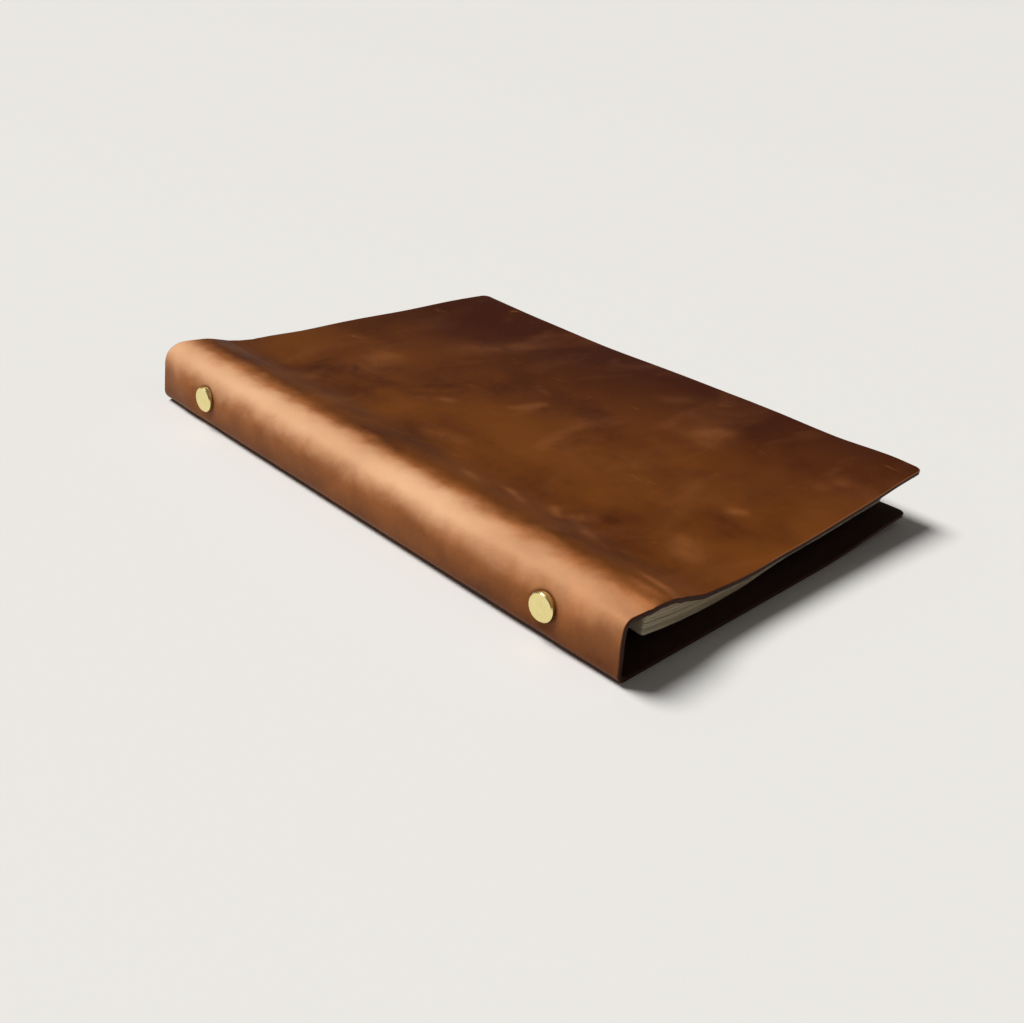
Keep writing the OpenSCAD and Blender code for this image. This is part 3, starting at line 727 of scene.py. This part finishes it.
def sheet_plan(step):
    """One punched sheet as flat triangles: corners rounded, six holes, and a mesh fine enough to bend."""
    outline = []
    radius = SHEET_CORNER_R
    wide, long = SHEET_W - radius, SHEET_HALF - radius
    for cx, cy, start in ((wide, long, 0), (radius, long, 90), (radius, -long, 180), (wide, -long, 270)):
        for k in range(SHEET_CORNER_STEPS + 1):
            a = math.radians(start + 90 / SHEET_CORNER_STEPS * k)
            outline.append((cx + radius * math.cos(a), cy + radius * math.sin(a)))
    points = []
    for start, end in zip(outline, outline[1:] + outline[:1]):
        count = max(1, round(math.dist(start, end) / step))
        points += [Vector(start).lerp(Vector(end), k / count) for k in range(count)]
    edges = [(i, (i + 1) % len(points)) for i in range(len(points))]
    around = [math.tau * k / HOLE_SIDES for k in range(HOLE_SIDES)]
    for hole_y in RING_YS:
        first = len(points)
        for a in around:
            points.append(Vector((PUNCH_EDGE + PUNCH_R * math.cos(a), hole_y + PUNCH_R * math.sin(a))))
        edges += [(first + i, first + (i + 1) % HOLE_SIDES) for i in range(HOLE_SIDES)]
    for x in np.linspace(0, SHEET_W, int(SHEET_W / step))[1:-1]:
        for y in np.linspace(-SHEET_HALF, SHEET_HALF, int(2 * SHEET_HALF / step))[1:-1]:
            if all(math.hypot(x - PUNCH_EDGE, y - h) > PUNCH_R + 1.5 for h in RING_YS):
                points.append(Vector((x, y)))
    verts, _, faces, *_ = delaunay_2d_cdt(points, edges, [], 0, 1e-5)
    # Triangles inside a hole are left out
    kept = []
    for face in faces:
        mid = sum((verts[i] for i in face), Vector((0, 0))) / len(face)
        if all((mid - Vector((PUNCH_EDGE, h))).length > PUNCH_R * 0.97 for h in RING_YS):
            kept.append(list(face))
    return np.array([tuple(v) for v in verts]), kept


def sheet_lie(x, y):
    """How far a sheet lies off its flat place: drooping past the outer rings, curled at its corners."""
    lie = through(SHEET_DROOP, x) * (smooth(y, -76, -SHEET_HALF) + 0.8 * smooth(y, 76, SHEET_HALF))
    lie += through(SHEET_CURL, x) * smooth(y, -50, -SHEET_HALF)
    return lie + 0.8 * smooth(x, 125, BACK_W) * smooth(y, 55, HALF_LEN)


def stack_tree(material):
    """Node tree that piles one sheet up into a stack, each slightly out of line."""
    tree = bpy.data.node_groups.new("sheet_stack", "GeometryNodeTree")
    for name, kind in (
            ("Sheet", "Geometry"), ("Count", "Int"), ("Pitch", "Vector"), ("Thickness", "Vector"),
            ("Jitter", "Vector"), ("Seed", "Int"), ("Fan", "Float")):
        tree.interface.new_socket(name, in_out="INPUT", socket_type=f"NodeSocket{kind}")
    tree.interface.new_socket("Stack", in_out="OUTPUT", socket_type="NodeSocketGeometry")
    given = add_node(tree, "NodeGroupInput").outputs
    upper = add_node(tree, "GeometryNodeExtrudeMesh", {
        "Mesh": given["Sheet"], "Offset": given["Thickness"], "Offset Scale": 1.0, "Individual": False})
    under = add_node(tree, "GeometryNodeFlipFaces", {"Mesh": given["Sheet"]})
    slab = add_node(tree, "GeometryNodeJoinGeometry", {0: upper.outputs["Mesh"]})
    tree.links.new(under.outputs[0], slab.inputs[0])
    closed = add_node(tree, "GeometryNodeMergeByDistance", {
        "Geometry": slab.outputs[0], "Distance": 0.01 * MM})
    places = add_node(tree, "GeometryNodeMeshLine", {"Count": given["Count"], "Offset": given["Pitch"]})
    back = add_node(tree, "ShaderNodeVectorMath", {
        0: given["Jitter"], 1: (-1, -1, -1)}, operation="MULTIPLY")
    shift = add_node(tree, "FunctionNodeRandomValue", {
        0: back.outputs[0], 1: given["Jitter"], "Seed": given["Seed"]}, data_type="FLOAT_VECTOR")
    moved = add_node(tree, "GeometryNodeSetPosition", {
        "Geometry": places.outputs[0], "Offset": shift.outputs[0]})
    number = add_node(tree, "GeometryNodeInputIndex")
    counted = add_node(tree, "GeometryNodeStoreNamedAttribute", {
        "Geometry": moved.outputs[0], "Name": "number", "Value": number.outputs[0]},
        data_type="FLOAT", domain="POINT")
    pile = add_node(tree, "GeometryNodeInstanceOnPoints", {
        "Points": counted.outputs[0], "Instance": closed.outputs[0]})
    real = add_node(tree, "GeometryNodeRealizeInstances", {0: pile.outputs[0]})
    # The free ends fan out a little: each sheet droops less than the one under it
    droop = add_node(tree, "GeometryNodeInputNamedAttribute", {"Name": "droop"}, data_type="FLOAT")
    order = add_node(tree, "GeometryNodeInputNamedAttribute", {"Name": "number"}, data_type="FLOAT")
    lift = droop.outputs[0]
    for factor in (order.outputs[0], given["Fan"]):
        lift = add_node(tree, "ShaderNodeMath", {0: lift, 1: factor}, operation="MULTIPLY").outputs[0]
    raised = add_node(tree, "ShaderNodeCombineXYZ", {"Z": lift})
    fanned = add_node(tree, "GeometryNodeSetPosition", {
        "Geometry": real.outputs[0], "Offset": raised.outputs[0]})
    dressed = add_node(tree, "GeometryNodeSetMaterial", {
        "Geometry": fanned.outputs[0], "Material": material})
    add_node(tree, "NodeGroupOutput", {0: dressed.outputs[0]})
    return tree


def pile_sheets(name, tree, base, low, loosened, count, jitter, seed):
    """One stack: a bent sheet at its lowest place, piled up by the node tree and made a plain mesh."""
    flat, faces = base
    x_on = flat[:, 0] + SHEET_EDGE
    y = flat[:, 1] + (flat[:, 0] - PUNCH_EDGE) * SHEET_SKEW
    across, up = math.cos(SHEET_TILT), math.sin(SHEET_TILT)
    x = RING_X + x_on * across + low * up
    droop = smooth(np.abs(y), 76, SHEET_HALF) * (1 - smooth(x, 20, 125))
    z = MID_Z - x_on * up + low * across + sheet_lie(x, y) + loosened * droop
    mesh = bpy.data.meshes.new(name + "_sheet")
    co = np.stack([x, y, z], -1) * MM + np.array([SPINE_X, 0, 0])
    mesh.from_pydata(co.tolist(), [], faces)
    mesh.attributes.new("droop", "FLOAT", "POINT").data.foreach_set("value", droop.astype(np.float32))
    holder = add_object(name + "_holder", mesh)
    stacker = holder.modifiers.new("stack", "NODES")
    stacker.node_group = tree
    pitch = STACK_T / count * MM
    values = {
        "Count": count,
        "Pitch": (pitch * up, 0.0, pitch * across),
        "Thickness": (SHEET_FILL * pitch * up, 0.0, SHEET_FILL * pitch * across),
        "Jitter": (SIDE_JITTER * MM, jitter, 0.0),
        "Seed": seed,
        "Fan": SHEET_FAN * MM / count,
    }
    for socket in tree.interface.items_tree:
        if socket.name in values:
            stacker[socket.identifier] = values[socket.name]
    ready = holder.evaluated_get(bpy.context.evaluated_depsgraph_get())
    result = bpy.data.meshes.new_from_object(ready)
    result.name = name
    bpy.data.objects.remove(holder)
    bpy.data.meshes.remove(mesh)
    return add_object(name, result)


class PORTFOLIO_OT_hide(bpy.types.Operator):
    """Builds the hide: the front part with the spine, and the back part"""

    bl_idname = "portfolio.hide"
    bl_label = "Hide"

    def execute(self, context):
        hide = context.scene.portfolio.hide
        step = hide.mesh_step / MM * 1
        edge = hide.edge_round / MM
        outer, place, worn, thinned = front_surface(step, edge)
        # Place on the hide of the posts' middle, read up the spine beside one post
        at_post = np.argmin(np.abs(outer[0, :, 1] - POST_Y))
        upright = SPINE_ROWS + ROUND_ROWS // 2
        post_place = np.interp(MID_Z, outer[:upright, at_post, 2], place[:upright, at_post])
        finishes = [grain_leather(hide, post_place), cut_edge_leather(hide), flesh_leather(hide)]
        front = add_object("front_hide", thick_hide("front_hide", outer, place, worn, thinned, edge, False))
        back = add_object("back_hide", thick_hide("back_hide", *back_surface(step, edge), edge, True))
        for piece in (front, back):
            for finish in finishes:
                piece.data.materials.append(finish)
        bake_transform(front)
        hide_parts("spine_panel", "front_fold", "front_cover")
        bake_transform(back)
        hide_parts("back_cover", "back_fold")
        return {"FINISHED"}


class PORTFOLIO_OT_sheets(bpy.types.Operator):
    """Piles up the two stacks of punched sheets"""

    bl_idname = "portfolio.sheets"
    bl_label = "Sheets"

    def execute(self, context):
        sheets = context.scene.portfolio.sheets
        paper = wove_paper(sheets)
        tree = stack_tree(paper)
        base = sheet_plan(SHEET_STEP)
        places = {"lower": (-STACK_GAP - STACK_T, 0.0), "upper": (STACK_GAP, SHEET_FAN)}
        for seed, (side, (low, loosened)) in enumerate(places.items(), 3):
            piece = pile_sheets(
                f"{side}_paper", tree, base, low, loosened, sheets.count, sheets.jitter, seed)
            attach(piece, f"{side}_stack")
            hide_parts(f"{side}_sheets")
        bpy.data.node_groups.remove(tree)
        return {"FINISHED"}


class PORTFOLIO_OT_posts(bpy.types.Operator):
    """Finishes the brass posts and their screws"""

    bl_idname = "portfolio.posts"
    bl_label = "Posts"

    def execute(self, context):
        metal = context.scene.portfolio.metal
        # Turned and polished: a pale yellow mirror, softened by handling
        brass = worked_metal("polished_turned_brass", metal.brass_colour, 0.24, (1.0, 1.0, 0.3))
        dress_nodes(("post_near", "post_far", "screw_near", "screw_far"), brass)
        return {"FINISHED"}


class PORTFOLIO_OT_mechanism(bpy.types.Operator):
    """Finishes the ring mechanism: housing, levers, blades, pins and rings"""

    bl_idname = "portfolio.mechanism"
    bl_label = "Ring mechanism"

    def execute(self, context):
        metal = context.scene.portfolio.metal
        # Plated after pressing: a bright, slightly warm mirror with long faint streaks
        plate = worked_metal("nickel_plated_pressed_steel", metal.nickel_colour, 0.2, (1.0, 0.08, 1.0))
        # Plated after drawing: the brightest of the metals
        wire = worked_metal("nickel_plated_drawn_wire", metal.nickel_colour, 0.16, (1.0, 0.4, 1.0))
        # Left as rolled: a grey, dull shine drawn out along the strip
        strip = worked_metal("rolled_spring_steel_strip", metal.steel_colour, 0.38, (1.0, 0.05, 1.0))
        dress_nodes(("housing", "lever_near", "lever_far"), plate)
        dress_nodes([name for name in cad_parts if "_ring_" in name], wire)
        dress_nodes(("upper_blade", "lower_blade", "pin_near", "pin_far"), strip)
        return {"FINISHED"}


class PORTFOLIO_OT_stage(bpy.types.Operator):
    """Sets the floor, the lamp, the room light and the camera"""

    bl_idname = "portfolio.stage"
    bl_label = "Stage"

    def execute(self, context):
        stage = context.scene.portfolio.stage
        scene = context.scene
        scene.view_settings.view_transform = "Standard"
        # Wide enough to reach the horizon, and a hair under the case so that their faces don't mix
        side = 30.0
        below = -0.2 * MM
        mesh = bpy.data.meshes.new("floor")
        corners = [(-side, -side, below), (side, -side, below), (side, side, below), (-side, side, below)]
        mesh.from_pydata(corners, [], [(0, 1, 2, 3)])
        floor = add_object("floor", mesh)
        material, tree = new_material("matt_painted_floor")
        shader = add_node(tree, "ShaderNodeBsdfPrincipled", {
            "Base Color": stage.floor_colour, "Roughness": 0.9, "Specular IOR Level": 0.1})
        add_node(tree, "ShaderNodeOutputMaterial", {"Surface": shader.outputs[0]})
        mesh.materials.append(material)
        self.add_room(scene, stage)
        self.add_lamp(scene, stage)
        self.place_camera(scene)
        return {"FINISHED"}

    def add_room(self, scene, stage):
        """Even room light, and pale walls that only the camera and reflections see, so they add no light."""
        world = bpy.data.worlds.new("room")
        world.use_nodes = True
        tree = world.node_tree
        tree.nodes.clear()
        light = add_node(tree, "ShaderNodeBackground", {
            "Color": stage.room_colour, "Strength": stage.sky_level})
        # A little under the floor's own colour, so that the horizon doesn't show
        wall = add_node(tree, "ShaderNodeBackground", {"Color": stage.floor_colour, "Strength": 0.99})
        # Reflections see the walls only low down and less strongly, and above that the dim room
        rays = add_node(tree, "ShaderNodeLightPath").outputs
        mirrored = add_node(tree, "ShaderNodeMath", {
            0: rays["Is Glossy Ray"], 1: rays["Is Transmission Ray"]}, operation="MAXIMUM")
        direction = add_node(tree, "ShaderNodeTexCoord").outputs["Generated"]
        height = add_node(tree, "ShaderNodeSeparateXYZ", {0: direction}).outputs["Z"]
        band = add_node(tree, "ShaderNodeMapRange", {
            "Value": height, "From Min": 0.14, "From Max": 0.02, "To Max": 0.4})
        mirrored = add_node(tree, "ShaderNodeMath", {
            0: mirrored.outputs[0], 1: band.outputs[0]}, operation="MULTIPLY")
        pale = add_node(tree, "ShaderNodeMath", {
            0: mirrored.outputs[0], 1: rays["Is Camera Ray"]}, operation="MAXIMUM")
        room = add_node(tree, "ShaderNodeMixShader", {
            0: pale.outputs[0], 1: light.outputs[0], 2: wall.outputs[0]})
        add_node(tree, "ShaderNodeOutputWorld", {"Surface": room.outputs[0]})
        scene.world = world

    def add_lamp(self, scene, stage):
        """One broad lamp, far off above the far end of the spine."""
        data = bpy.data.lights.new("key", "SUN")
        data.energy = stage.key_level
        data.angle = math.radians(LAMP_WIDTH)
        lamp = bpy.data.objects.new("key", data)
        scene.collection.objects.link(lamp)
        lamp.rotation_mode = "QUATERNION"
        lamp.rotation_quaternion = Vector(LAMP_TOWARDS).to_track_quat("-Z", "Y")

    def place_camera(self, scene):
        """The photograph's viewpoint, solved from the case's corners and its two brass heads."""
        data = bpy.data.cameras.new("camera")
        data.sensor_fit = "HORIZONTAL"
        data.sensor_width = 36.0
        data.lens = 40.337
        data.clip_start = 0.01
        camera = bpy.data.objects.new("camera", data)
        scene.collection.objects.link(camera)
        right = Vector((0.6902, -0.7130, 0.1236))
        up = Vector((0.2560, 0.4003, 0.8799))
        back = Vector((-0.6768, -0.5757, 0.4588))
        turn = Matrix((right, up, back)).transposed()
        camera.matrix_world = Matrix.Translation((-0.29881, -0.24983, 0.17857)) @ turn.to_4x4()
        scene.camera = camera


class PORTFOLIO_PT_sidebar(bpy.types.Panel):
    """Settings and build steps of the portfolio case"""

    bl_idname = "PORTFOLIO_PT_sidebar"
    bl_label = "Portfolio case"
    bl_space_type = "VIEW_3D"
    bl_region_type = "UI"
    bl_category = "Portfolio"

    def draw(self, context):
        settings = context.scene.portfolio
        for group in (settings.hide, settings.sheets, settings.metal, settings.stage):
            box = self.layout.box()
            for name in group.__annotations__:
                box.prop(group, name)
        for operator in OPERATORS:
            self.layout.operator(operator.bl_idname)


OPERATORS = (
    PORTFOLIO_OT_hide, PORTFOLIO_OT_sheets, PORTFOLIO_OT_posts, PORTFOLIO_OT_mechanism, PORTFOLIO_OT_stage,
)
CLASSES = (
    HideSettings, SheetSettings, MetalSettings, StageSettings, PortfolioSettings,
) + OPERATORS + (PORTFOLIO_PT_sidebar,)


def register():
    """Adds the classes and the scene's settings."""
    for cls in CLASSES:
        bpy.utils.register_class(cls)
    bpy.types.Scene.portfolio = PointerProperty(type=PortfolioSettings)


def unregister():
    """Takes the settings and the classes away again."""
    del bpy.types.Scene.portfolio
    for cls in reversed(CLASSES):
        bpy.utils.unregister_class(cls)


def main():
    register()
    bpy.ops.portfolio.stage()
    bpy.ops.portfolio.hide()
    bpy.ops.portfolio.sheets()
    bpy.ops.portfolio.posts()
    bpy.ops.portfolio.mechanism()


if __name__ == "__main__":
    main()
